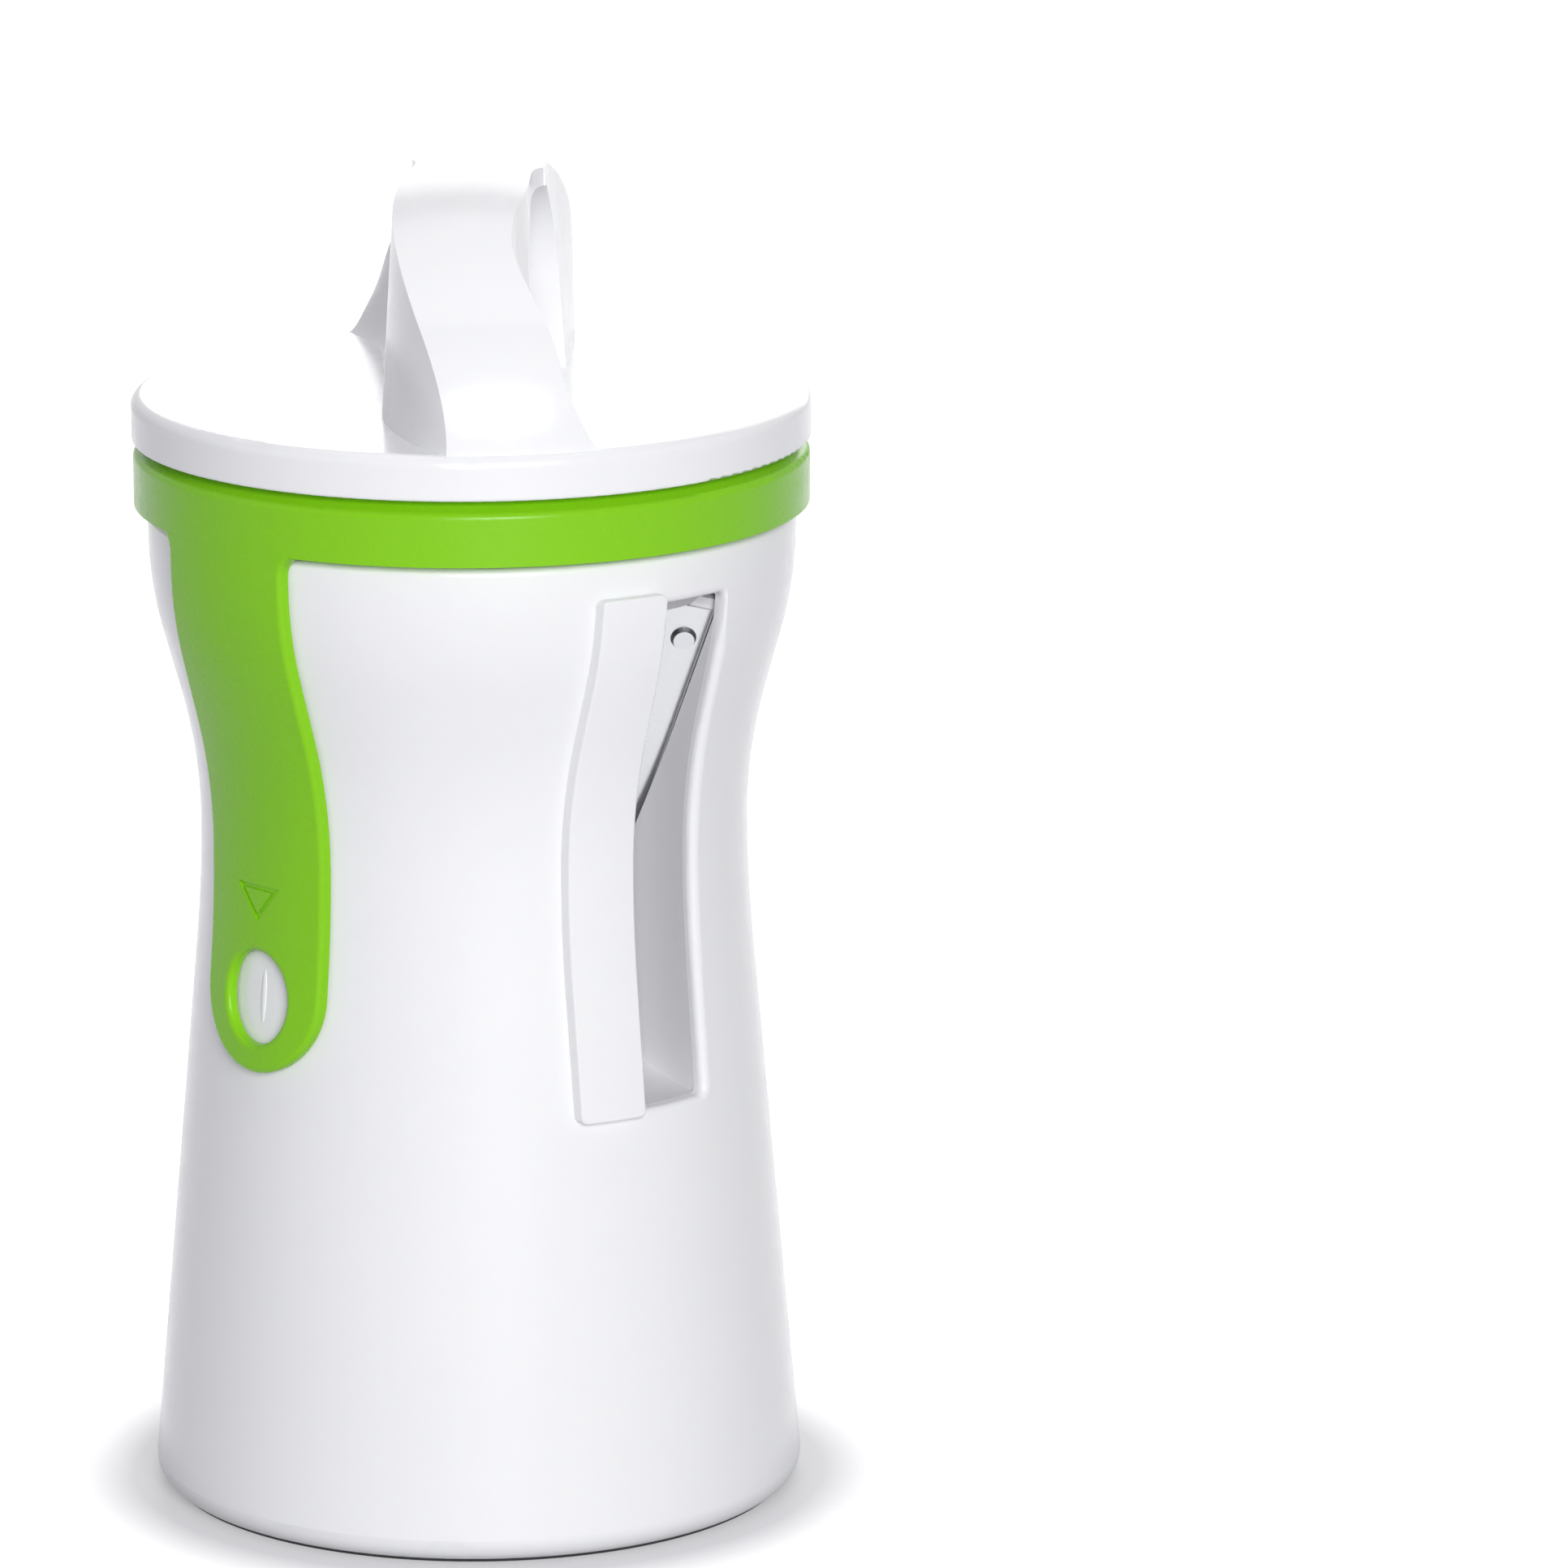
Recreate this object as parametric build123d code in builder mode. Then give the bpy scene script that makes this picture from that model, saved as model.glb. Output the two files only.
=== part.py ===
from build123d import *
from math import atan, cos, radians, sin, sqrt, tan
import os

# Hand-held spiralizer: an hourglass shell with two outlets, a green collar that turns
# the blade cone inside it, and a food holder with a ribbon handle that is turned by hand.
# Millimetres, +Z up, origin at the centre of the base, front outlet towards -Y.

# ---------------------------------------------------------------- driving dimensions
# side line of the shell, from the foot to the shoulder
waist_radius = 40.7
waist_height = 102.0
lower_curve_radius = 200.0
taper_angle = 5.05
upper_curve_radius = 75.0
flare_angle = 15.5
flare_length = 9.3
shoulder_curve_radius = 56.0
lip_height = 3.4
shell_base = 0.6
wall = 2.2
foot_round_height = 3.2
foot_round_depth = 1.7
top_round = 1.3

# bearing rib inside the shell, which the collar and the cone clasp
rib_reach = 2.15
rib_depth = 3.9
rib_height = 1.5

# foot ring
foot_ring_height = 5.0
foot_ring_width = 2.6
foot_ring_chamfer = 0.4

# outlets, on the front and on the back
window_left = -9.0
window_right = 6.9
window_bottom = 65.5
window_margin = 7.4
window_corner = 1.2
window_round = 1.2
chute_wall = 1.6
scoop_start = 36.0
scoop_end = (-3.0, -13.0)
ramp_inner = (18.0, 81.0)
ramp_outer = 42.0
ear_margin = 6.0
ear_depth = 3.0
blade_sweep = 4.0

# guard over the cutting edge
hood_left = -16.6
hood_right = -6.3
hood_bottom = 65.0
hood_margin = 2.0
hood_thickness = 1.6
hood_corner = 1.0
hood_round = 0.35
peg_radius = 1.4
peg_x = -12.9
peg_margin = 11.0

# collar: ring, straps and their windows
collar_overhang = 2.05
collar_gap = 0.6
collar_side = 7.6
collar_crown = 1.7
collar_rim_width = 3.0
mouth_depth = 4.0
collar_round = 1.2
strap_width = 24.4
strap_gap = 0.3
strap_thickness = 1.7
strap_bottom = 70.2
strap_fillet = 3.0
strap_root = 1.0
strap_round = 0.8
strap_window = (12.6, 14.0)
strap_window_height = 81.3
arrow_width = 9.0
arrow_height = 5.4
arrow_bottom = 92.8
arrow_line = 0.7
arrow_depth = 0.4

# blade cone
throat_wall = 2.0
socket_depth = 4.5
cone_bottom_radius = 8.0
cone_bottom = 74.0
cone_wall = 2.4
socket_wall = 1.7
flange_reach = 0.65
flange_height = 2.2
boss_radius = 9.6
boss_height = 6.0
cone_shoulder = 2.0
corer_radius = 6.0
corer_wall = 0.5
corer_top = 78.0
corer_bevel = 1.0
snap_count = 4
snap_width = 6.0
snap_height = 2.0
snap_depth = 0.8
snap_rise = 0.5
snap_angle = 22.5

# blade stations round the cone: angle, lowest cut and comb pitch (0 is a plain blade)
cut_margin = 1.5
stations = {
    "noodle": (270, 84.0, 3.6),
    "ribbon": (225, 98.0, 0),
    "fine": (90, 84.0, 2.4),
    "curl": (45, 98.0, 6.0),
}
blade_width = 11.0
blade_thickness = 0.5
blade_tilt = 35.0
cut_depth = 2.0
edge_lead = 1.0
edge_bevel = 1.2
slit_lead = 4.6
slit_top = 8.0
pad_reach = 8.8
pad_start = 5.0
pad_sink = 1.0
pad_margin = 1.5
pad_spare = 0.4
comb_thickness = 0.5
comb_base = 1.8
tooth_length = 2.2
tooth_slope = 0.6
tooth_root = 0.5
tooth_margin = 3.0
rivet_radius = 1.0
rivet_head_radius = 1.9
rivet_head_height = 0.8
rivet_head_taper = 25.0
rivet_from_edge = 8.2
rivet_margin = 5.0
rivet_length = 2.6

# detent between the cone and the shell
detent_angle = 45.0
detent_drop = 18.0
detent_width = 6.0
detent_radius = 35.5
notch_radius = 1.6
sector_spare = 7.0
spring_thickness = 0.5
spring_base = (-15.0, -7.0)
spring_face = 37.4
spring_tail = 4.5
nose_reach = 2.0
nose_rise = 0.9
leaf_margin = 0.5
spring_boss_margin = 1.0
screw_radius = 1.1
screw_head_radius = 2.2
screw_head_height = 1.4
screw_depth = 3.4

# food holder
cap_overhang = 0.2
cap_height = 6.7
cap_round = 1.8
cap_under_round = 0.5
cap_ceiling = 2.7
hub_wall = 3.2
glide_gap = 0.4
glide_width = 3.6
glide_height = 3.3
glide_chamfer = 0.5
plate_overlap = 1.5
plate_thickness = 2.2
plate_chamfer = 0.6
plate_boss_radius = 3.6
plate_screw_circle = 33.0
plate_screw_count = 3
plate_screw_angle = 30.0
plate_screw_length = 7.0
pin_radius = 1.0
pin_length = 16.0
pin_tip = 3.0
pin_head_radius = 1.9
pin_head_height = 0.8
pin_rings = ((11.0, 5), (22.0, 9))
spike_radius = 1.7
spike_length = 21.0
spike_head_radius = 2.6

# ribbon handle, drawn in its own frame and turned to face the photograph's viewer
handle_turn = -42.0
handle_height = 34.0
handle_spare = 0.2
handle_sink = 0.6
rim_setback = 1.0
arch_end_radius = 24.0
finger_hole_radius = 16.0
finger_hole_height = 30.3
flank_points = ((0.12, 0.55), (0.4, 0.2))
# the two legs, each from the middle of the lid outward. Distance from the middle: crease,
# foot of the wall under it, far edge of the band, toe of the flank that runs out in the lid
front_leg = {
    0.0: (-8.0, -10.5, 10.9, 13.5),
    11.5: (-10.4, -12.3, 8.5, 15.0),
    22.0: (-11.1, -12.9, 6.4, 15.5),
    32.0: (-9.9, -11.2, 6.8, 16.5),
    41.0: (-7.4, -8.4, 11.0, 19.0),
    47.0: (-4.6, -5.2, 13.5, 21.5),
    51.0: (-1.5, -1.6, 16.0, 22.0),
}
rear_leg = {
    0.0: (-10.9, -13.5, 8.0, 10.5),
    11.5: (-11.4, -13.8, 8.4, 15.0),
    22.0: (-13.0, -14.8, 6.4, 15.5),
    32.0: (-14.8, -15.6, 6.8, 16.5),
    41.0: (-15.4, -15.8, 11.0, 19.0),
    47.0: (-14.8, -15.0, 13.5, 21.5),
    51.0: (-13.5, -13.6, 16.0, 22.0),
}

# clearances
turn_gap = 0.3
fit_gap = 0.05

# how close two places are to count as one
tiny = 0.001
peg_gap = 0.1
rivet_gap = 0.02

# ---------------------------------------------------------------- derived places
taper = radians(taper_angle)
flare = radians(flare_angle)
flare_start = (
    waist_radius + upper_curve_radius * (1 - cos(flare)),
    waist_height + upper_curve_radius * sin(flare),
)
flare_end = (
    flare_start[0] + flare_length * sin(flare),
    flare_start[1] + flare_length * cos(flare),
)
shoulder_radius = flare_end[0] + shoulder_curve_radius * (1 - cos(flare))
shoulder_height = flare_end[1] + shoulder_curve_radius * sin(flare)
shell_top = shoulder_height + lip_height
shell_inside = shoulder_radius - wall
rib_radius = shell_inside - rib_reach
rib_bottom = shell_top - rib_depth
rib_top = rib_bottom + rib_height
window_top = shell_top - window_margin
hood_top = window_top + hood_margin
peg_heights = (hood_bottom + peg_margin, hood_top - peg_margin)
collar_radius = shoulder_radius + collar_overhang
collar_bottom = shell_top + collar_gap
collar_edge_height = collar_bottom + collar_side
collar_top = collar_edge_height + collar_crown
mouth_radius = collar_radius - collar_rim_width
spigot_radius = rib_radius - turn_gap - socket_wall - fit_gap
throat_radius = spigot_radius - throat_wall
throat_height = rib_bottom - socket_depth
flange_radius = shell_inside - flange_reach
cut_top = throat_height - cut_margin
detent_height = throat_height - detent_drop
cone_slope = (throat_radius - cone_bottom_radius) / (throat_height - cone_bottom)
half_angle = atan(cone_slope)
ring_underside = rib_top + turn_gap
flange_top = rib_bottom - turn_gap
cap_radius = collar_radius + cap_overhang
glide_radius = mouth_radius - glide_gap
hub_radius = glide_radius - glide_width - turn_gap
plate_radius = hub_radius + plate_overlap
cap_bottom = collar_top + turn_gap
cap_top = cap_bottom + cap_height
glide_top = cap_bottom - fit_gap
glide_bottom = glide_top - glide_height
plate_top = glide_bottom - turn_gap
plate_bottom = plate_top - plate_thickness
tilt = radians(blade_tilt)
screw_y = (spring_base[0] + spring_base[1]) / 2
far = 2 * collar_radius

front_plane = Plane.XZ
rear_plane = Plane((0, 0, 0), x_dir=(-1, 0, 0), z_dir=(0, 1, 0))
outlets = {"front": front_plane, "rear": rear_plane}
pieces = []


def keep(piece, name):
    """Labels a finished piece and puts it on the list to be written."""
    piece.label = name
    pieces.append(piece)


def side_points(gap, base, top):
    """Joints of the shell's side line, moved outward by gap: foot to top, as (radius, height)."""
    taper_end = (
        waist_radius + lower_curve_radius * (1 - cos(taper)) + gap * cos(taper),
        waist_height - lower_curve_radius * sin(taper) + gap * sin(taper),
    )
    foot = (taper_end[0] + (taper_end[1] - base) * tan(taper), base)
    waist = (waist_radius + gap, waist_height)
    rise = (flare_start[0] + gap * cos(flare), flare_start[1] - gap * sin(flare))
    crest = (flare_end[0] + gap * cos(flare), flare_end[1] - gap * sin(flare))
    shoulder = (shoulder_radius + gap, shoulder_height)
    return foot, taper_end, waist, rise, crest, shoulder, (shoulder_radius + gap, top)


def side_line(gap, base, top):
    """Draws the side line into the current BuildLine."""
    foot, taper_end, waist, rise, crest, shoulder, end = side_points(gap, base, top)
    Line(foot, taper_end)
    TangentArc(taper_end, waist, tangent=(-sin(taper), cos(taper)))
    TangentArc(waist, rise, tangent=(0, 1))
    Line(rise, crest)
    TangentArc(crest, shoulder, tangent=(sin(flare), cos(flare)))
    Line(shoulder, end)
    return foot, end


def side_body(gap, base=shell_base, top=shell_top):
    """Solid of revolution that fills the side line moved outward by gap."""
    with BuildPart() as body:
        with BuildSketch(Plane.XZ):
            with BuildLine():
                foot, end = side_line(gap, base, top)
                Polyline(end, (0, top), (0, base), foot)
            make_face()
        revolve(axis=Axis.Z)
    return body.part


def layer(inner_gap, outer_gap, base=shell_base, top=shell_top):
    """Skin between two offsets of the side line."""
    return side_body(outer_gap, base, top) - side_body(inner_gap, base - 1, top + 1)


def ring(inner, outer, low, high):
    """Plain ring about the main axis."""
    with BuildPart() as body:
        with BuildSketch(Plane.XY.offset(low)):
            Circle(outer)
            Circle(inner, mode=Mode.SUBTRACT)
        extrude(amount=high - low)
    return body.part


def cone_radius(height, clearance=0.0):
    """Radius of the chamber wall's inner face at a height, grown square to the face."""
    return cone_bottom_radius + (height - cone_bottom) * cone_slope + clearance / cos(half_angle)


def cone_body(clearance, low, high):
    """Solid cone inside the chamber wall's inner face grown by clearance."""
    with BuildPart() as body:
        with BuildSketch(Plane.XZ):
            with BuildLine():
                Polyline(
                    (0, low), (cone_radius(low, clearance), low),
                    (cone_radius(high, clearance), high), (0, high), close=True,
                )
            make_face()
        revolve(axis=Axis.Z)
    return body.part


def outline_edges(body, gap, limit):
    """Edges of a body's flat-drawn outline on the side line's skin at gap, below a height."""
    skin = Compound(children=side_body(gap).faces())
    low = body.edges().filter_by(lambda edge: (edge @ 0.5).Z < limit)
    return low.filter_by(lambda edge: skin.distance_to(edge @ 0.5) < tiny)


def station_plane(angle, height):
    """Plane square to the chamber wall: x against the food's motion, y out of the wall."""
    outward = Vector(1, 0, 0).rotate(Axis.Z, angle)
    upstream = Vector(0, -1, 0).rotate(Axis.Z, angle)
    along = outward * sin(half_angle) + Vector(0, 0, cos(half_angle))
    origin = outward * cone_radius(height, cone_wall) + Vector(0, 0, height)
    return Plane(origin, x_dir=upstream, z_dir=along)


def wall_run(low, high):
    """Length along the chamber wall between two heights."""
    return (high - low) / cos(half_angle)


def blade_point(from_edge, lift=0.0):
    """Point on the blade's seat line, from_edge behind the cutting edge, lifted off the seat."""
    edge_depth = cone_wall + cut_depth
    return (
        edge_lead - from_edge * cos(tilt) + lift * sin(tilt),
        -edge_depth + from_edge * sin(tilt) + lift * cos(tilt),
    )


def rivet_planes(angle, cut_low):
    """Planes square to a blade's outer face, at its two rivets."""
    planes = []
    for height in (cut_low + rivet_margin, cut_top - rivet_margin):
        station = station_plane(angle, height)
        seat = blade_point(rivet_from_edge, blade_thickness)
        normal = station.x_dir * sin(tilt) + station.y_dir * cos(tilt)
        planes.append(Plane(station.from_local_coords((*seat, 0)), x_dir=station.z_dir, z_dir=normal))
    return planes


# ---------------------------------------------------------------- outer shell
with BuildPart() as boss_block:
    with BuildSketch(Plane.YZ.offset(spring_face)):
        with Locations((screw_y, detent_height)):
            Rectangle(spring_base[1] - spring_base[0], detent_width + 2 * spring_boss_margin)
    extrude(amount=shoulder_radius)
    add(side_body(-wall / 2), mode=Mode.INTERSECT)

with BuildPart() as outer_shell:
    with BuildSketch(Plane.XZ) as shell_section:
        with BuildLine():
            foot_out, top_out = side_line(0, shell_base + foot_round_height, shell_top)
            foot_in, top_in = side_line(-wall, shell_base, shell_top)
            foot_edge = (foot_out[0] - foot_round_depth, shell_base)
            TangentArc(foot_out, foot_edge, tangent=(sin(taper), -cos(taper)))
            Line(foot_edge, foot_in)
            Line(top_out, top_in)
        make_face()
        fillet(shell_section.vertices().sort_by_distance((*top_out, 0))[0], top_round)
    revolve(axis=Axis.Z)
    with BuildSketch(Plane.XY.offset(rib_bottom)):
        Circle(shoulder_radius - wall / 2)
        Circle(rib_radius, mode=Mode.SUBTRACT)
    extrude(amount=rib_height)
    add(boss_block.part)
    with BuildSketch(*outlets.values()) as windows:
        with Locations(((window_left + window_right) / 2, (window_bottom + window_top) / 2)):
            RectangleRounded(
                window_right - window_left, window_top - window_bottom, window_corner
            )
        with Locations(*[(peg_x, height) for height in peg_heights]):
            Circle(peg_radius + peg_gap)
    extrude(amount=far, mode=Mode.SUBTRACT)
    window_edges = outline_edges(outer_shell, 0, shell_top)
    fillet(window_edges.filter_by(lambda edge: abs((edge @ 0.5).X) < tiny - window_left), window_round)
    with BuildSketch(Plane.YZ.offset(spring_face)):
        with Locations((screw_y, detent_height)):
            Circle(screw_radius + rivet_gap)
    extrude(amount=screw_depth + fit_gap, mode=Mode.SUBTRACT)
keep(outer_shell.part, "outer_shell")

# ---------------------------------------------------------------- foot ring
foot_wall = side_points(-wall, 0, shell_top)[0][0]
with BuildPart() as foot_ring:
    add(ring(foot_wall - foot_ring_width, foot_wall + wall, 0, foot_ring_height))
    add(side_body(-wall - fit_gap, base=-1), mode=Mode.INTERSECT)
    chamfer(foot_ring.edges().group_by(Axis.Z)[0].sort_by(SortBy.RADIUS)[-1], foot_ring_chamfer)
keep(foot_ring.part, "foot_ring")

# ---------------------------------------------------------------- outlets: chute and guard
room = side_body(-wall - fit_gap)
swept_cone = cone_body(cone_wall + blade_sweep, cone_bottom - boss_height, shell_top)


def channel(plane, grow):
    """Space of an outlet channel, grown outward by grow: plan and side views crossed."""
    across = Plane(plane.origin, x_dir=plane.x_dir, z_dir=(0, 0, 1))
    with BuildSketch(across) as plan:
        with BuildLine():
            Polyline(
                scoop_end, (window_left, scoop_end[1]), (window_left, -far),
                (window_right, -far), (window_right, -scoop_start),
            )
            TangentArc((window_right, -scoop_start), scoop_end, tangent=(0, 1))
        make_face()
        if grow:
            offset(amount=grow, kind=Kind.INTERSECTION)
    side_plane = Plane(plane.origin, x_dir=plane.z_dir, z_dir=-plane.x_dir)
    with BuildSketch(side_plane) as side:
        with BuildLine():
            Polyline(
                (ramp_inner[0], ramp_inner[1]), (0, ramp_inner[1]), (0, window_top),
                (far, window_top), (far, window_bottom), (ramp_outer, window_bottom),
            )
            TangentArc((ramp_outer, window_bottom), ramp_inner, tangent=(-1, 0))
        make_face()
        if grow:
            offset(amount=grow, kind=Kind.INTERSECTION)
    with BuildPart() as space:
        extrude(plan.sketch, amount=far * 2)
        extrude(side.sketch, amount=far, both=True, mode=Mode.INTERSECT)
    return space.part


for side_name, plane in outlets.items():
    outside = channel(plane, chute_wall)
    inside = channel(plane, 0)
    with BuildPart() as chute:
        add(outside)
        with BuildSketch(plane):
            with Locations(((hood_left + window_left) / 2, (hood_bottom + hood_top) / 2)):
                Rectangle(window_left - hood_left, hood_top - hood_bottom - 2 * ear_margin)
        extrude(amount=far)
        add(layer(-wall - chute_wall - ear_depth, -wall - fit_gap), mode=Mode.INTERSECT)
        add(outside)
        add(room, mode=Mode.INTERSECT)
        add(inside, mode=Mode.SUBTRACT)
        add(swept_cone, mode=Mode.SUBTRACT)
        with BuildSketch(plane):
            with Locations(*[(peg_x, height) for height in peg_heights]):
                Circle(peg_radius + peg_gap)
        extrude(amount=far, mode=Mode.SUBTRACT)
    keep(chute.part, side_name + "_chute")

    with BuildPart() as hood:
        with BuildSketch(plane):
            with Locations(((hood_left + hood_right) / 2, (hood_bottom + hood_top) / 2)):
                RectangleRounded(hood_right - hood_left, hood_top - hood_bottom, hood_corner)
        extrude(amount=far)
        add(layer(fit_gap, hood_thickness), mode=Mode.INTERSECT)
        fillet(outline_edges(hood, hood_thickness, shell_top), hood_round)
    with BuildPart() as pegs:
        with BuildSketch(plane):
            with Locations(*[(peg_x, height) for height in peg_heights]):
                Circle(peg_radius)
        extrude(amount=far)
        add(layer(-wall - chute_wall, hood_thickness / 2), mode=Mode.INTERSECT)
    with BuildPart() as guard:
        add(hood.part)
        add(pegs.part)
    keep(guard.part, side_name + "_hood")

# ---------------------------------------------------------------- collar
with BuildPart() as straps:
    with BuildSketch(Plane.YZ) as strap_face:
        with Locations((0, (strap_bottom + collar_bottom) / 2)):
            Rectangle(strap_width, collar_bottom - strap_bottom)
        with Locations((0, collar_bottom + strap_root)):
            Rectangle(strap_width + 4 * strap_fillet, 2 * strap_root)
        fillet(strap_face.vertices().group_by(Axis.Y)[0], strap_width / 2 - fit_gap)
        roots = strap_face.vertices().group_by(Axis.Y)[2]
        fillet(roots.sort_by(Axis.X)[1:-1], strap_fillet)
        with Locations((0, strap_window_height)):
            Ellipse(strap_window[0] / 2, strap_window[1] / 2, mode=Mode.SUBTRACT)
    extrude(amount=far, both=True)
    strap_skin = layer(strap_gap, strap_gap + strap_thickness, top=collar_bottom + strap_root)
    add(strap_skin, mode=Mode.INTERSECT)
    fillet(outline_edges(straps, strap_gap + strap_thickness, collar_bottom + tiny), strap_round)

with BuildPart() as arrow:
    with BuildSketch(Plane.YZ):
        with BuildLine():
            Polyline(
                (0, arrow_bottom), (arrow_width / 2, arrow_bottom + arrow_height),
                (-arrow_width / 2, arrow_bottom + arrow_height), close=True,
            )
        make_face()
        offset(amount=-arrow_line, kind=Kind.INTERSECTION, mode=Mode.SUBTRACT)
    extrude(amount=far, both=True)
    strap_outside = strap_gap + strap_thickness
    add(layer(strap_outside - arrow_depth, strap_outside + 1), mode=Mode.INTERSECT)

with BuildPart() as collar:
    with BuildSketch(Plane.XZ) as collar_section:
        with BuildLine():
            Polyline(
                (collar_radius, collar_bottom), (collar_radius, collar_edge_height),
                (mouth_radius, collar_top), (mouth_radius, collar_top - mouth_depth),
                (throat_radius, flange_top - fit_gap), (throat_radius, throat_height),
                (spigot_radius, throat_height), (spigot_radius, ring_underside),
                (shell_inside - turn_gap, ring_underside),
                (shell_inside - turn_gap, collar_bottom), close=True,
            )
        make_face()
        rim_corners = collar_section.vertices().sort_by(Axis.X)[-2:]
        fillet(rim_corners.sort_by(Axis.Y)[-1], collar_round)
    revolve(axis=Axis.Z)
    add(straps.part)
    add(arrow.part, mode=Mode.SUBTRACT)
    with BuildSketch(Plane.XY.offset(throat_height + snap_rise)):
        with PolarLocations(spigot_radius, snap_count, snap_angle):
            Rectangle(2 * snap_depth, snap_width)
    extrude(amount=snap_height)
keep(collar.part, "collar")

# ---------------------------------------------------------------- blade cone
socket_inner = spigot_radius + fit_gap
socket_outer = socket_inner + socket_wall
cone_core = cone_body(0, cone_bottom, throat_height)
with BuildPart() as blade_cone:
    with BuildSketch(Plane.XZ):
        with BuildLine():
            Polyline(
                (0, cone_bottom - boss_height), (boss_radius, cone_bottom - boss_height),
                (boss_radius, cone_bottom), (cone_radius(cone_bottom, cone_wall), cone_bottom),
                (cone_radius(throat_height - cone_shoulder, cone_wall), throat_height - cone_shoulder),
                (socket_outer, throat_height), (socket_outer, flange_top - flange_height),
                (flange_radius, flange_top - flange_height), (flange_radius, flange_top),
                (socket_outer, flange_top), (socket_outer, ring_underside - fit_gap),
                (0, ring_underside - fit_gap), close=True,
            )
        make_face()
    revolve(axis=Axis.Z)
    # pads that carry the tails of the blades
    for angle, cut_low, pitch in stations.values():
        with BuildSketch(station_plane(angle, cut_low - pad_margin)):
            start_x, start_y = blade_point(pad_start)
            with BuildLine():
                Polyline(
                    (start_x, start_y), blade_point(blade_width + pad_spare),
                    (-pad_reach, -pad_sink), (-pad_reach, -cone_wall - cut_depth),
                    (start_x, -cone_wall - cut_depth), close=True,
                )
            make_face()
        extrude(amount=wall_run(cut_low - pad_margin, cut_top + pad_margin))
    # sector with the detent notches
    with BuildSketch(Plane.XY.offset(detent_height - detent_width / 2)):
        with BuildLine():
            sector_start = -detent_angle - sector_spare
            sector_size = detent_angle + 2 * sector_spare
            CenterArc((0, 0), detent_radius, sector_start, sector_size)
            reach = CenterArc((0, 0), cone_bottom_radius, sector_start, sector_size)
            for end in (0, 1):
                direction = reach.position_at(end).normalized()
                Line(direction * cone_bottom_radius, direction * detent_radius)
        make_face()
        for angle in (0, -detent_angle):
            with PolarLocations(detent_radius, 1, angle):
                Circle(notch_radius, mode=Mode.SUBTRACT)
    extrude(amount=detent_width)
    # chamber, socket for the collar and seat of the corer
    add(cone_core, mode=Mode.SUBTRACT)
    with BuildSketch(Plane.XY.offset(throat_height)):
        Circle(socket_inner)
    extrude(amount=far, mode=Mode.SUBTRACT)
    with BuildSketch(Plane.XY.offset(cone_bottom - boss_height)):
        Circle(corer_radius)
    extrude(amount=boss_height, mode=Mode.SUBTRACT)
    # slit above each blade's seat
    for angle, cut_low, pitch in stations.values():
        with BuildSketch(station_plane(angle, cut_low)):
            low_end = blade_point(-(slit_lead - edge_lead) / cos(tilt))
            with BuildLine():
                Polyline(
                    low_end, blade_point(blade_width + cut_depth), (-pad_reach - 1, slit_top),
                    (slit_lead, slit_top), close=True,
                )
            make_face()
        extrude(amount=wall_run(cut_low, cut_top), mode=Mode.SUBTRACT)
    for angle, cut_low, pitch in stations.values():
        with BuildSketch(*rivet_planes(angle, cut_low)):
            Circle(rivet_radius + rivet_gap)
        extrude(amount=-rivet_length - fit_gap, mode=Mode.SUBTRACT)
    with BuildSketch(Plane.XY.offset(throat_height + snap_rise - turn_gap)):
        with PolarLocations(spigot_radius, snap_count, snap_angle):
            Rectangle(2 * (snap_depth + turn_gap), snap_width + 2 * turn_gap)
    extrude(amount=snap_height + 2 * turn_gap, mode=Mode.SUBTRACT)
keep(blade_cone.part, "blade_cone")

# ---------------------------------------------------------------- corer
with BuildPart() as corer:
    with BuildSketch(Plane.XZ):
        with BuildLine():
            Polyline(
                (corer_radius - fit_gap, cone_bottom - boss_height),
                (corer_radius - fit_gap, corer_top - corer_bevel),
                (corer_radius - corer_wall, corer_top),
                (corer_radius - corer_wall, cone_bottom - boss_height), close=True,
            )
        make_face()
    revolve(axis=Axis.Z)
keep(corer.part, "corer")

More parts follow.
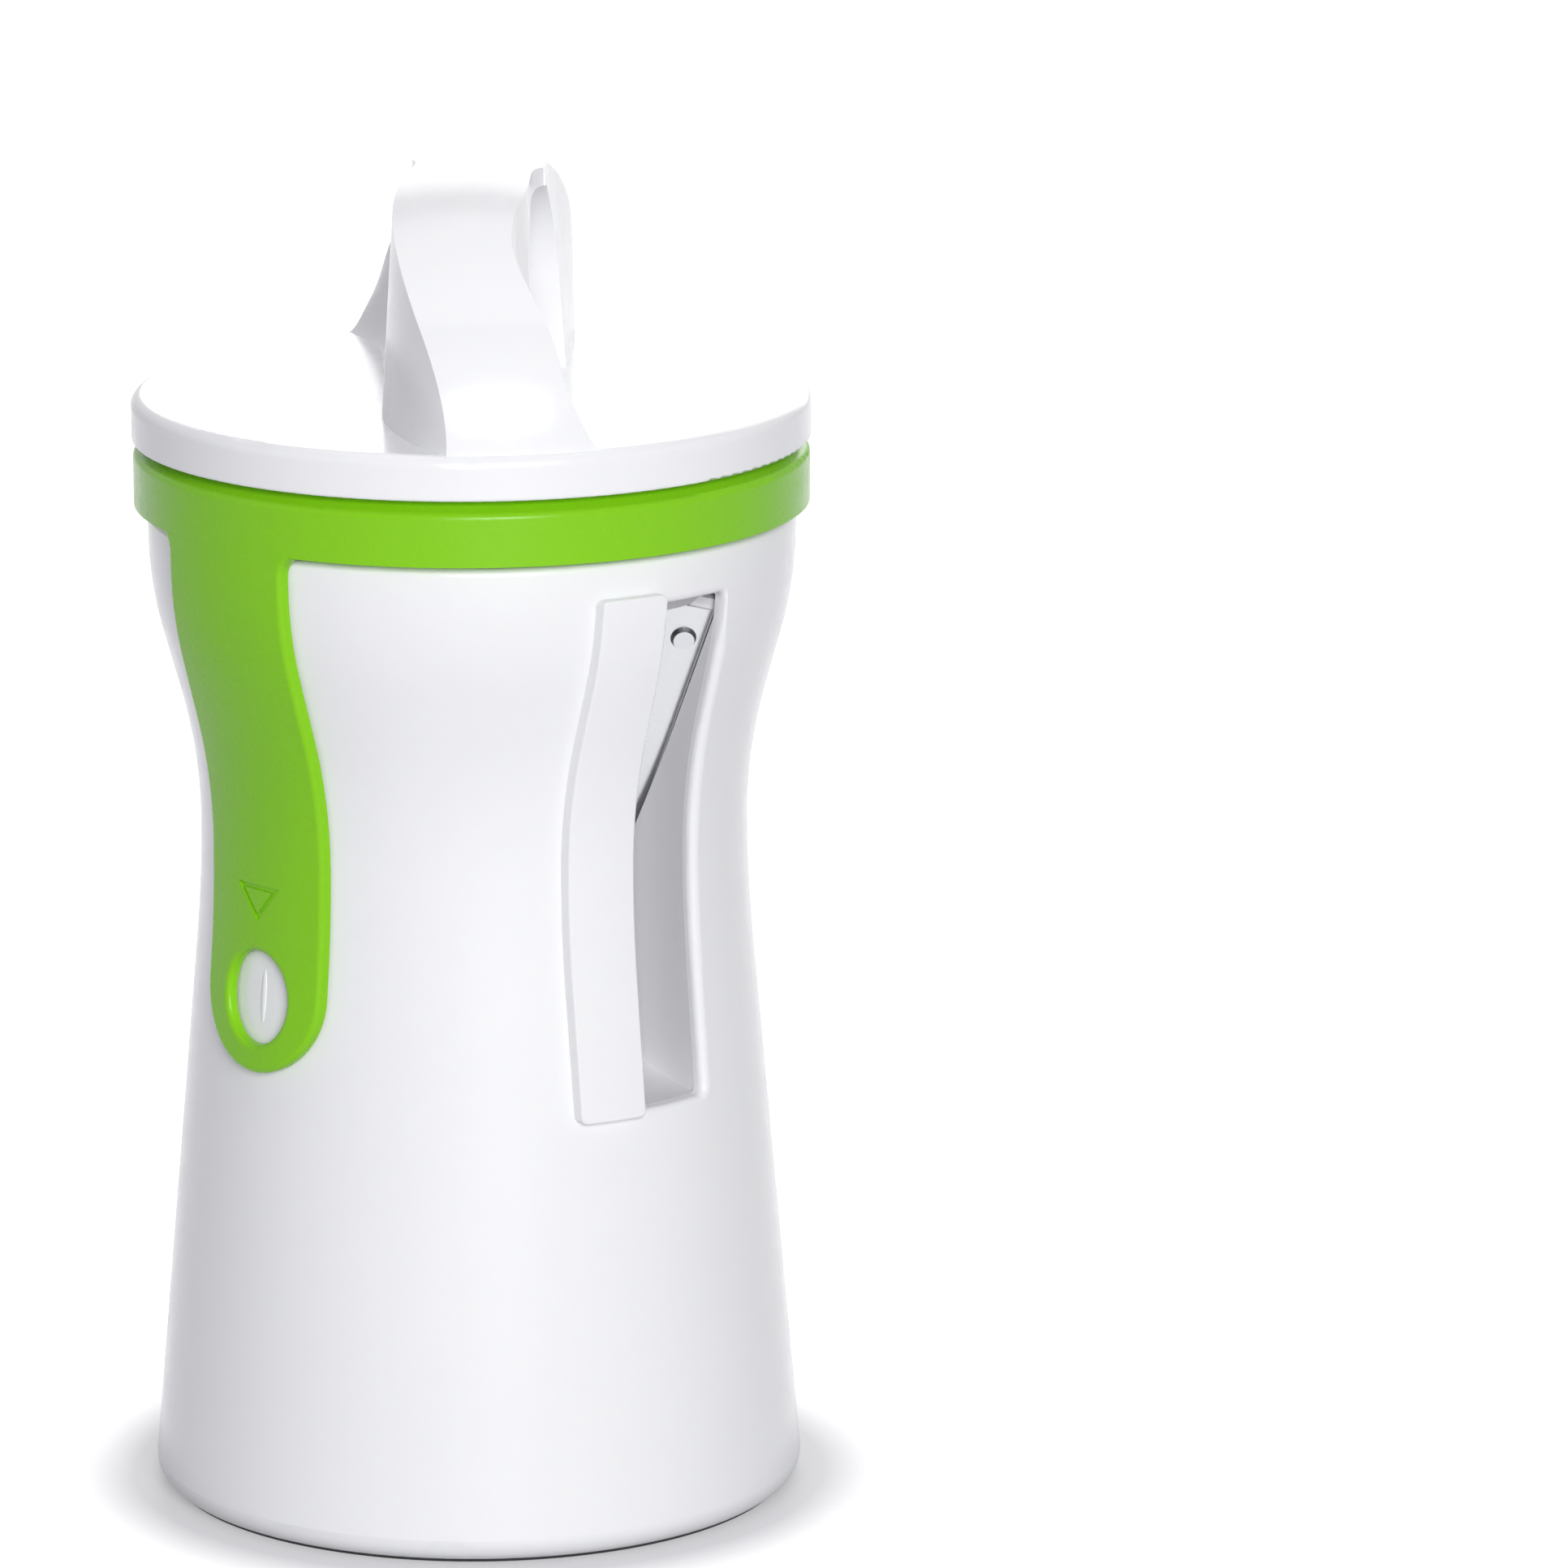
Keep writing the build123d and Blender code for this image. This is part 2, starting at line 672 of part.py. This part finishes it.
# ---------------------------------------------------------------- blades and combs
tooth_tip = -cone_wall - cut_depth
for name, (angle, cut_low, pitch) in stations.items():
    with BuildPart() as blade:
        with BuildSketch(station_plane(angle, cut_low + fit_gap)):
            with BuildLine():
                Polyline(
                    blade_point(0, fit_gap), blade_point(edge_bevel, blade_thickness),
                    blade_point(blade_width, blade_thickness), blade_point(blade_width, fit_gap),
                    close=True,
                )
            make_face()
        extrude(amount=wall_run(cut_low, cut_top) - 2 * fit_gap)
        with BuildSketch(*rivet_planes(angle, cut_low)):
            Circle(rivet_radius + rivet_gap)
        extrude(amount=2 * blade_thickness, both=True, mode=Mode.SUBTRACT)
    keep(blade.part, name + "_blade")

    if pitch:
        count = int((wall_run(cut_low, cut_top) - 2 * tooth_margin) / pitch)
        start = (wall_run(cut_low, cut_top) - count * pitch) / 2
        steps = [start + index * pitch for index in range(count + 1)]
        with BuildPart() as comb:
            with BuildSketch(station_plane(angle, cut_low + fit_gap)):
                with BuildLine():
                    Polyline(
                        (slit_lead, fit_gap), (slit_lead + comb_base, fit_gap),
                        (slit_lead + comb_base, fit_gap + comb_thickness),
                        (slit_lead - comb_thickness, fit_gap + comb_thickness),
                        (slit_lead - comb_thickness, -cone_wall),
                        (slit_lead - fit_gap, -cone_wall), (slit_lead - fit_gap, fit_gap),
                        close=True,
                    )
                make_face()
            extrude(amount=wall_run(cut_low, cut_top) - 2 * fit_gap)
            base_plane = station_plane(angle, cut_low)
            teeth = [base_plane.offset(step - comb_thickness / 2) for step in steps]
            with BuildSketch(*teeth):
                with BuildLine():
                    Polyline(
                        (slit_lead - fit_gap, -tooth_root), (slit_lead - fit_gap, tooth_tip),
                        (slit_lead - tooth_length, tooth_tip + tooth_slope),
                        (slit_lead - tooth_length, -tooth_root), close=True,
                    )
                make_face()
            extrude(amount=comb_thickness)
        keep(comb.part, name + "_comb")

# ---------------------------------------------------------------- rivets through the blades
rivet_spots = []
for angle, cut_low, pitch in stations.values():
    rivet_spots += rivet_planes(angle, cut_low)
with BuildPart() as blade_rivets:
    with BuildSketch(*[spot.offset(-rivet_length) for spot in rivet_spots]):
        Circle(rivet_radius)
    extrude(amount=rivet_length + rivet_head_height / 2)
    with BuildSketch(*[spot.offset(fit_gap / 2) for spot in rivet_spots]):
        Circle(rivet_head_radius)
    extrude(amount=rivet_head_height, taper=rivet_head_taper)
keep(blade_rivets.part, "blade_rivets")

# ---------------------------------------------------------------- detent spring and its screw
with BuildPart() as detent_spring:
    plate_x = spring_face - spring_thickness / 2
    nose_x = detent_radius + turn_gap + spring_thickness / 2
    with BuildSketch(Plane.XY.offset(detent_height - detent_width / 2 + leaf_margin)):
        with BuildLine() as leaf:
            Polyline(
                (plate_x, spring_base[0]), (plate_x, spring_base[1]),
                (nose_x + nose_rise, -nose_reach), (nose_x, 0),
                (nose_x + nose_rise, nose_reach), (plate_x, spring_tail),
            )
            offset(amount=spring_thickness / 2 - fit_gap, kind=Kind.INTERSECTION)
        make_face()
    extrude(amount=detent_width - 2 * leaf_margin)
    with BuildSketch(Plane.YZ.offset(spring_face)):
        with Locations((screw_y, detent_height)):
            Circle(screw_radius + rivet_gap)
    extrude(amount=-2 * spring_thickness, mode=Mode.SUBTRACT)
keep(detent_spring.part, "detent_spring")

with BuildPart() as spring_screw:
    with BuildSketch(Plane.YZ.offset(spring_face + screw_depth)):
        with Locations((screw_y, detent_height)):
            Circle(screw_radius)
    extrude(amount=-(screw_depth + spring_thickness + screw_head_height))
    with BuildSketch(Plane.YZ.offset(spring_face - spring_thickness)):
        with Locations((screw_y, detent_height)):
            Circle(screw_head_radius)
    extrude(amount=-screw_head_height)
keep(spring_screw.part, "spring_screw")

# ---------------------------------------------------------------- food holder
with BuildPart() as glide_ring:
    add(ring(hub_radius + turn_gap, glide_radius, glide_bottom, glide_top))
    chamfer(glide_ring.edges().group_by(Axis.Z)[0], glide_chamfer)
keep(glide_ring.part, "glide_ring")

screw_spots = PolarLocations(plate_screw_circle, plate_screw_count, plate_screw_angle)
screw_top = plate_bottom + plate_screw_length
with BuildPart() as cap:
    with BuildSketch(Plane.XZ) as cap_section:
        with BuildLine():
            Polyline(
                (0, cap_top), (cap_radius, cap_top), (cap_radius, cap_bottom),
                (hub_radius, cap_bottom), (hub_radius, plate_top), (hub_radius - hub_wall, plate_top),
                (hub_radius - hub_wall, cap_top - cap_ceiling), (0, cap_top - cap_ceiling),
                close=True,
            )
        make_face()
        fillet(cap_section.vertices().sort_by_distance((cap_radius, cap_top, 0))[0], cap_round)
        fillet(cap_section.vertices().sort_by_distance((cap_radius, cap_bottom, 0))[0], cap_under_round)
    revolve(axis=Axis.Z)
    with BuildSketch(Plane.XY.offset(plate_top)):
        with screw_spots:
            Circle(plate_boss_radius)
    extrude(amount=cap_top - cap_ceiling - plate_top)


def leg_section(leg, reach):
    """Closed outline of a leg at a distance from the middle: wall, band, flank and base."""
    crease, foot, edge, toe = leg[reach]
    height = handle_height * sqrt(max(0.0, 1 - (reach / cap_radius) ** 2)) + handle_spare
    flank = [(edge + (toe - edge) * run, height * rise) for run, rise in flank_points]
    with BuildSketch(Plane.XZ.offset(reach)) as outline:
        with BuildLine():
            Polyline((edge, height), (crease, height), (foot, -handle_sink), (toe, -handle_sink))
            Spline((edge, height), *flank, (toe, -handle_sink), tangents=((0, -1), (1, 0)))
        make_face()
    return outline.sketch


# basket arch of the handle: a small arc up from the rim, then one wide arc over the top
rim = cap_radius - rim_setback
inset = rim - arch_end_radius
arch_radius = (inset**2 + handle_height**2 - arch_end_radius**2) / 2
arch_radius /= handle_height - arch_end_radius
arch_drop = arch_radius - handle_height
lean = arch_radius / (arch_radius - arch_end_radius)
arch_joint = (inset * lean, arch_drop * lean - arch_drop)
arch_joint_tangent = (-arch_drop, inset)

with BuildPart() as front_half:
    loft([leg_section(front_leg, reach) for reach in front_leg])
with BuildPart() as rear_half:
    loft([leg_section(rear_leg, reach) for reach in rear_leg])
with BuildPart() as dome:
    with BuildSketch(Plane.XZ):
        with BuildLine():
            Polyline((0, handle_height), (0, -handle_sink), (rim, -handle_sink), (rim, 0))
            TangentArc((rim, 0), arch_joint, tangent=(0, 1))
            TangentArc(arch_joint, (0, handle_height), tangent=arch_joint_tangent)
        make_face()
    revolve(axis=Axis.Z)
with BuildPart() as handle:
    add(front_half.part)
    add(rear_half.part.rotate(Axis.Z, 180))
    add(dome.part, mode=Mode.INTERSECT)
    with BuildSketch(Plane.YZ):
        with Locations((0, finger_hole_height - finger_hole_radius)):
            Circle(finger_hole_radius)
            Rectangle(
                2 * finger_hole_radius, finger_hole_height - finger_hole_radius,
                align=(Align.CENTER, Align.MAX),
            )
    extrude(amount=far, both=True, mode=Mode.SUBTRACT)

with BuildPart() as cap_whole:
    add(cap.part)
    add(handle.part.rotate(Axis.Z, handle_turn).translate((0, 0, cap_top)))
    with BuildSketch(Plane.XY.offset(plate_top)):
        with screw_spots:
            Circle(screw_radius + rivet_gap)
    extrude(amount=screw_top - plate_top + turn_gap, mode=Mode.SUBTRACT)
keep(cap_whole.part, "cap")


def plate_screw(grow):
    """Countersunk screw that holds the pin plate, grown all round by grow."""
    cone_depth = screw_head_radius - screw_radius
    with BuildPart() as screw:
        with BuildSketch(Plane.XZ):
            with BuildLine():
                Polyline(
                    (0, plate_bottom), (screw_head_radius + grow, plate_bottom),
                    (screw_radius + grow, plate_bottom + cone_depth),
                    (screw_radius + grow, screw_top), (0, screw_top), close=True,
                )
            make_face()
        revolve(axis=Axis.Z)
    return screw.part


with BuildPart() as pin_plate:
    with BuildSketch(Plane.XY.offset(plate_bottom)):
        Circle(plate_radius)
    extrude(amount=plate_thickness)
    chamfer(pin_plate.edges().group_by(Axis.Z)[0], plate_chamfer)
    with BuildSketch(Plane.XY.offset(plate_bottom)):
        for circle, count in pin_rings:
            with PolarLocations(circle, count):
                Circle(pin_radius + rivet_gap)
        Circle(spike_radius + rivet_gap)
    extrude(amount=plate_thickness, mode=Mode.SUBTRACT)
    with screw_spots:
        add(plate_screw(rivet_gap), mode=Mode.SUBTRACT)
keep(pin_plate.part, "pin_plate")


def pin_section(radius, length, head_radius):
    """Half outline of a pin hung through the plate: flat head above, sharp tip below."""
    head_top = plate_top + pin_head_height + fit_gap
    with BuildSketch(Plane.XZ) as outline:
        with BuildLine():
            Polyline(
                (0, head_top), (head_radius, head_top), (head_radius, plate_top + fit_gap),
                (radius, plate_top + fit_gap), (radius, plate_bottom - length + pin_tip),
                (0, plate_bottom - length), close=True,
            )
        make_face()
    return outline.sketch


with BuildPart() as single_pin:
    revolve(pin_section(pin_radius, pin_length, pin_head_radius), axis=Axis.Z)
with BuildPart() as holder_pins:
    for circle, count in pin_rings:
        with PolarLocations(circle, count):
            add(single_pin.part)
keep(holder_pins.part, "holder_pins")

with BuildPart() as centre_spike:
    revolve(pin_section(spike_radius, spike_length, spike_head_radius), axis=Axis.Z)
keep(centre_spike.part, "centre_spike")

with BuildPart() as plate_screws:
    with screw_spots:
        add(plate_screw(0))
keep(plate_screws.part, "plate_screws")

for piece in pieces:
    box = piece.bounding_box()
    print(piece.label, round(piece.volume, 1), box.min, box.max)

os.makedirs("parts", exist_ok=True)
for piece in pieces:
    export_step(piece, f"parts/{piece.label}.step")
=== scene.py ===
import math

import bpy
import numpy as np
from mathutils import Euler, Matrix


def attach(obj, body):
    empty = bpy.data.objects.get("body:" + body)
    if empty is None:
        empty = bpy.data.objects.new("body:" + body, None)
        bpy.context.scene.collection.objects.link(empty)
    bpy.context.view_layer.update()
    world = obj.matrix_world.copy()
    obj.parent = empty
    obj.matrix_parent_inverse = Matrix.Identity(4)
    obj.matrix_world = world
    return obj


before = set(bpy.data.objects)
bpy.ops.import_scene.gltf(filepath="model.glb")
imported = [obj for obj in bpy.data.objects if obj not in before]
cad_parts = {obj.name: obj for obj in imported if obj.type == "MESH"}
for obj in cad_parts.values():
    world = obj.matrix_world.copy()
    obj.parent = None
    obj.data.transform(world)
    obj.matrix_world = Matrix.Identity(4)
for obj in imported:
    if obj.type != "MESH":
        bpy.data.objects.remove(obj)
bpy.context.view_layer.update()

MM = 0.001
PLASTIC_IOR = 1.53
FLOW_SPACING = 28
SOFT_DEPTH = 1.2 * MM
# places of the colour sockets on a mix node, whose other sockets share their names
MIX_FACTOR, MIX_FIRST, MIX_SECOND, MIX_RESULT = 0, 6, 7, 2

# ---------------------------------------------------------------- the photograph's view
IMAGE_SIDE = 1932
FOCAL_PIXELS = 11910
SENSOR_WIDTH = 36.0
CAMERA_DISTANCE = 1400 * MM
CAMERA_HEIGHT = 441.4 * MM
CAMERA_TURN = -42.0
CAMERA_PITCH = 13.46
CAMERA_ROLL = -0.43
AXIS_COLUMN = 584


def turned(angle):
    """Unit vector in plan: 0 degrees looks from -Y, positive turns towards +X."""
    return np.array([math.sin(math.radians(angle)), -math.cos(math.radians(angle)), 0.0])


def add_camera():
    """Long lens on the object's axis, shifted sideways so that the axis falls left of the middle."""
    data = bpy.data.cameras.new("camera")
    data.sensor_width = SENSOR_WIDTH
    data.lens = FOCAL_PIXELS / IMAGE_SIDE * SENSOR_WIDTH
    data.shift_x = (IMAGE_SIDE / 2 - AXIS_COLUMN) / IMAGE_SIDE
    data.clip_start, data.clip_end = 0.1, 50.0
    camera = bpy.data.objects.new("camera", data)
    camera.location = (*(turned(CAMERA_TURN) * CAMERA_DISTANCE)[:2], CAMERA_HEIGHT)
    aim = Euler((math.radians(90 - CAMERA_PITCH), 0, math.radians(CAMERA_TURN))).to_matrix()
    roll = Matrix.Rotation(math.radians(CAMERA_ROLL), 3, "Z")
    camera.rotation_euler = (aim @ roll).to_euler()
    bpy.context.scene.collection.objects.link(camera)
    bpy.context.scene.camera = camera


# ---------------------------------------------------------------- material helpers
def colour(code):
    """Linear RGBA of an sRGB hex code."""
    parts = np.array([int(code[i : i + 2], 16) / 255 for i in (1, 3, 5)])
    linear = np.where(parts <= 0.04045, parts / 12.92, ((parts + 0.055) / 1.055) ** 2.4)
    return (*linear.tolist(), 1.0)


def add_node(tree, kind, settings=(), links=()):
    """Adds one shader node, sets its properties or input values, and links its inputs."""
    node = tree.nodes.new(kind)
    for key, value in dict(settings).items():
        if isinstance(key, str) and hasattr(node, key):
            setattr(node, key, value)
        else:
            node.inputs[key].default_value = value
    for key, source in dict(links).items():
        tree.links.new(source, node.inputs[key])
    return node


def new_material(name):
    """An empty node material with its output, and the tree."""
    material = bpy.data.materials.new(name)
    material.use_nodes = True
    tree = material.node_tree
    tree.nodes.clear()
    output = tree.nodes.new("ShaderNodeOutputMaterial")
    return material, tree, output


def scaled(millimetres):
    """Texture scale whose features are about this many millimetres apart."""
    return 1 / (millimetres * MM)


def moulded(name, code, deep_code, roughness, texture_mm, texture_depth, specular=0.5, soft=0.0):
    """Injection-moulded plastic: an even colour with slow flow shades, a faint skin texture that
    breaks up the gloss, and a hair of light let into the body of the plastic."""
    material, tree, output = new_material(name)
    place = add_node(tree, "ShaderNodeTexCoord").outputs["Object"]
    flow = add_node(
        tree, "ShaderNodeTexNoise", {"Scale": scaled(FLOW_SPACING), "Detail": 2.0, "Roughness": 0.4},
        {"Vector": place},
    )
    tint = add_node(
        tree, "ShaderNodeMix", {"data_type": "RGBA", MIX_FIRST: colour(code), MIX_SECOND: colour(deep_code)},
        {MIX_FACTOR: flow.outputs["Fac"]},
    )
    skin = add_node(
        tree, "ShaderNodeTexNoise", {"Scale": scaled(texture_mm), "Detail": 4.0, "Roughness": 0.55},
        {"Vector": place},
    )
    rough = add_node(
        tree, "ShaderNodeMapRange",
        {"From Min": 0.3, "From Max": 0.7, "To Min": roughness * 0.85, "To Max": roughness * 1.2},
        {"Value": skin.outputs["Fac"]},
    )
    bump = add_node(
        tree, "ShaderNodeBump", {"Strength": 0.35, "Distance": texture_depth * MM},
        {"Height": skin.outputs["Fac"]},
    )
    shader = add_node(
        tree, "ShaderNodeBsdfPrincipled",
        {"IOR": PLASTIC_IOR, "Specular IOR Level": specular, "Subsurface Weight": soft,
         "Subsurface Scale": SOFT_DEPTH},
        {"Base Color": tint.outputs[MIX_RESULT], "Roughness": rough.outputs[0], "Normal": bump.outputs[0]},
    )
    tree.links.new(shader.outputs[0], output.inputs["Surface"])
    return material


def metal(name, code, roughness, line_mm, stretch, line_depth):
    """Steel with fine lines: noise stretched along one direction for a ground or drawn finish."""
    material, tree, output = new_material(name)
    place = add_node(tree, "ShaderNodeTexCoord").outputs["Object"]
    along = add_node(tree, "ShaderNodeMapping", {"Scale": stretch}, {"Vector": place})
    lines = add_node(
        tree, "ShaderNodeTexNoise", {"Scale": scaled(line_mm), "Detail": 3.0}, {"Vector": along.outputs[0]}
    )
    rough = add_node(
        tree, "ShaderNodeMapRange", {"To Min": roughness * 0.7, "To Max": roughness * 1.4},
        {"Value": lines.outputs["Fac"]},
    )
    bump = add_node(
        tree, "ShaderNodeBump", {"Strength": 0.3, "Distance": line_depth * MM},
        {"Height": lines.outputs["Fac"]},
    )
    shader = add_node(
        tree, "ShaderNodeBsdfPrincipled", {"Base Color": colour(code), "Metallic": 1.0},
        {"Roughness": rough.outputs[0], "Normal": bump.outputs[0]},
    )
    tree.links.new(shader.outputs[0], output.inputs["Surface"])
    return material


# ---------------------------------------------------------------- the object's materials
# high-gloss white ABS, injection moulded: a hard clean shine over an opaque white
shell_white = moulded("gloss_white_abs_moulded", "#F1F1F2", "#EEEEF0", 0.22, 3.0, 0.004, soft=0.05)
# the same ABS from an eroded mould half: a satin finish; its slightly greyer white is painted shade on the
# parts inside the body
satin_white_painted_shade = moulded("satin_white_abs_painted_shade", "#DFDFE1", "#D9D9DC", 0.42, 0.6, 0.012, 0.4)
# gloss apple-green ABS, coloured through: a bright, slightly yellow green
apple_green = moulded("gloss_green_abs_moulded", "#86CE14", "#81C810", 0.26, 3.0, 0.004, 0.22, soft=0.04)
# moulded thermoplastic rubber: dull dark grey, which is also painted shadow for the dark line under the
# shell's edge
foot_rubber_painted_shadow = moulded("grey_rubber_painted_shadow", "#3A3B3C", "#333435", 0.75, 0.6, 0.03, 0.3)
# surface-ground stainless strip: fine straight grinding lines
blade_steel = metal("stainless_steel_ground", "#C9CACC", 0.24, 0.6, (8.0, 8.0, 1.0), 0.01)
# drawn stainless wire and headed rivets: a brighter, rounder shine
pin_steel = metal("stainless_steel_drawn", "#C4C5C8", 0.2, 0.8, (6.0, 6.0, 1.0), 0.008)

finishes = {
    "outer_shell": shell_white,
    "front_hood": shell_white,
    "rear_hood": shell_white,
    "cap": shell_white,
    "collar": apple_green,
    # the foot ring's dark grey is painted shadow under the shell as well as rubber
    "foot_ring": foot_rubber_painted_shadow,
    # the parts inside the body take the greyer white, which is painted shade
    "front_chute": satin_white_painted_shade,
    "rear_chute": satin_white_painted_shade,
    "blade_cone": satin_white_painted_shade,
    "glide_ring": satin_white_painted_shade,
    "pin_plate": satin_white_painted_shade,
}
for name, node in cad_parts.items():
    steel = blade_steel if name.endswith(("_blade", "_comb", "corer")) else pin_steel
    node.material_slots[0].material = finishes.get(name, steel)


# ---------------------------------------------------------------- mesh helper
def add_mesh(name, vertices, faces, material):
    """Mesh object at the origin from arrays of places in metres and of face corners."""
    mesh = bpy.data.meshes.new(name)
    mesh.from_pydata(np.asarray(vertices).tolist(), [], [list(face) for face in faces])
    mesh.materials.append(material)
    mesh.update()
    piece = bpy.data.objects.new(name, mesh)
    bpy.context.scene.collection.objects.link(piece)
    return piece


# ---------------------------------------------------------------- position marks
MARK_WIDTH = 1.1
MARK_LENGTH = 8.0
MARK_RELIEF = 0.22
MARK_HEIGHT = 81.3
MARK_RINGS = 24
MARK_STEPS = 16
# the shell's side where the marks stand: its radius, and the degrees it leans in with height
WALL_RADIUS = 41.75
WALL_TAPER = 5.05


def add_mark(name, angle):
    """Raised bar that the strap's window frames: the ellipsoid across = W/2 sin(v) cos(u),
    up = L/2 cos(v), out = D sin(v) sin(u), wrapped on the tapered wall by angle = across / radius."""
    v, u = np.meshgrid(
        np.linspace(0, math.pi, MARK_RINGS + 1)[1:-1],
        np.linspace(0, 2 * math.pi, MARK_STEPS, endpoint=False), indexing="ij",
    )
    across = np.append(MARK_WIDTH / 2 * np.sin(v) * np.cos(u), [0, 0])
    up = np.append(MARK_LENGTH / 2 * np.cos(v), [MARK_LENGTH / 2, -MARK_LENGTH / 2])
    out = np.append(MARK_RELIEF * np.sin(v) * np.sin(u), [0, 0])
    radius = WALL_RADIUS - up * math.tan(math.radians(WALL_TAPER)) + out
    turn = math.radians(angle) + across / radius
    places = np.stack([radius * np.cos(turn), radius * np.sin(turn), up + MARK_HEIGHT], axis=1) * MM
    rings = np.arange(v.size).reshape(v.shape)
    ahead = np.roll(rings, -1, axis=1)
    top, bottom = v.size, v.size + 1
    faces = np.stack([rings[:-1], ahead[:-1], ahead[1:], rings[1:]], axis=-1).reshape(-1, 4).tolist()
    faces += [(top, b, a) for a, b in zip(rings[0], ahead[0])]
    faces += [(a, b, bottom) for a, b in zip(rings[-1], ahead[-1])]
    mark = add_mesh(name, places, faces, shell_white)
    mark.data.polygons.foreach_set("use_smooth", [True] * len(mark.data.polygons))
    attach(mark, "body")


for side, angle in {"right": 0, "left": 180}.items():
    add_mark("position_mark_" + side, angle)


# ---------------------------------------------------------------- studio
FLOOR_SIDE = 8.0
FLOOR_COLOUR = "#A8A8AC"
FLOOR_LIFT = 0.34
# inside FLOOR_NEAR the floor's glow stays low and rises to full by FLOOR_FAR: a painted shadow round the
# base
FLOOR_NEAR = 52 * MM
FLOOR_FAR = 68 * MM
WORLD_COLOUR = "#E4E4F0"
WORLD_LIGHT = 0.22
LAMP_AIM = 100 * MM
# turn from the camera and elevation in degrees, distance and size in metres, power in watts, colour
LAMPS = {
    "key_softbox": (9, 19, 2.2, 0.9, 38, "#FFFFFF"),
    "fill_softbox": (-75, 20, 2.4, 1.6, 2.5, "#EEEEFF"),
    "top_softbox": (180, 75, 2.0, 1.6, 11, "#FFFFFF"),
    "back_softbox": (170, 22, 2.4, 1.6, 13, "#FFFFFF"),
}


def add_floor():
    """Flat pale sweep. It takes the lamps' light and the object's shadow; seen by the camera or in a
    reflection it is lifted towards the white of the photograph's background, less so close to the object, so
    that a darker band round the base is painted shadow on top of the lamps' real shadow."""
    material, tree, output = new_material("white_paper_sweep")
    place = add_node(tree, "ShaderNodeTexCoord").outputs["Object"]
    distance = add_node(tree, "ShaderNodeVectorMath", {"operation": "LENGTH"}, {0: place})
    # painted shadow: less glow close to the object's axis
    lift = add_node(
        tree, "ShaderNodeMapRange",
        {"From Min": FLOOR_NEAR, "From Max": FLOOR_FAR, "To Min": FLOOR_LIFT, "To Max": 1.0},
        {"Value": distance.outputs["Value"]},
    )
    path = add_node(tree, "ShaderNodeLightPath")
    seen = add_node(
        tree, "ShaderNodeMath", {"operation": "MAXIMUM"},
        {0: path.outputs["Is Camera Ray"], 1: path.outputs["Is Glossy Ray"]},
    )
    glow = add_node(
        tree, "ShaderNodeMath", {"operation": "MULTIPLY"}, {0: seen.outputs[0], 1: lift.outputs[0]}
    )
    shader = add_node(
        tree, "ShaderNodeBsdfPrincipled",
        {"Base Color": colour(FLOOR_COLOUR), "Roughness": 0.6, "Specular IOR Level": 0.2,
         "Emission Color": (1, 1, 1, 1)},
        {"Emission Strength": glow.outputs[0]},
    )
    tree.links.new(shader.outputs[0], output.inputs["Surface"])
    side = FLOOR_SIDE
    corners = [(-side, -side, 0), (side, -side, 0), (side, side, 0), (-side, side, 0)]
    floor = add_mesh("floor", corners, [(0, 1, 2, 3)], material)


def add_lamp(name, turn, elevation, distance, size, power, code):
    """Square soft box that looks at the middle of the object from a turn and a height."""
    data = bpy.data.lights.new(name, "AREA")
    data.shape, data.size = "SQUARE", size
    data.energy, data.color = power, colour(code)[:3]
    lamp = bpy.data.objects.new(name, data)
    rise = math.radians(elevation)
    offset = turned(turn) * math.cos(rise) + np.array([0, 0, math.sin(rise)])
    lamp.location = offset * distance + np.array([0, 0, LAMP_AIM])
    lamp.rotation_euler = (math.radians(90 - elevation), 0, math.radians(turn))
    bpy.context.scene.collection.objects.link(lamp)


def add_world():
    """Even soft light from all round; white where the camera or a reflection sees it."""
    world = bpy.data.worlds.new("studio")
    bpy.context.scene.world = world
    world.use_nodes = True
    tree = world.node_tree
    tree.nodes.clear()
    output = tree.nodes.new("ShaderNodeOutputWorld")
    path = add_node(tree, "ShaderNodeLightPath")
    shown = add_node(
        tree, "ShaderNodeMath", {"operation": "MAXIMUM"},
        {0: path.outputs["Is Camera Ray"], 1: path.outputs["Is Glossy Ray"]},
    )
    soft = add_node(
        tree, "ShaderNodeBackground", {"Color": colour(WORLD_COLOUR), "Strength": WORLD_LIGHT}
    )
    seen = add_node(tree, "ShaderNodeBackground", {"Color": (1, 1, 1, 1), "Strength": 1.0})
    mix = add_node(
        tree, "ShaderNodeMixShader", {}, {0: shown.outputs[0], 1: soft.outputs[0], 2: seen.outputs[0]}
    )
    tree.links.new(mix.outputs[0], output.inputs["Surface"])


add_camera()
add_floor()
add_world()
for name, (turn, *settings) in LAMPS.items():
    add_lamp(name, CAMERA_TURN + turn, *settings)
bpy.context.scene.view_settings.view_transform = "Standard"
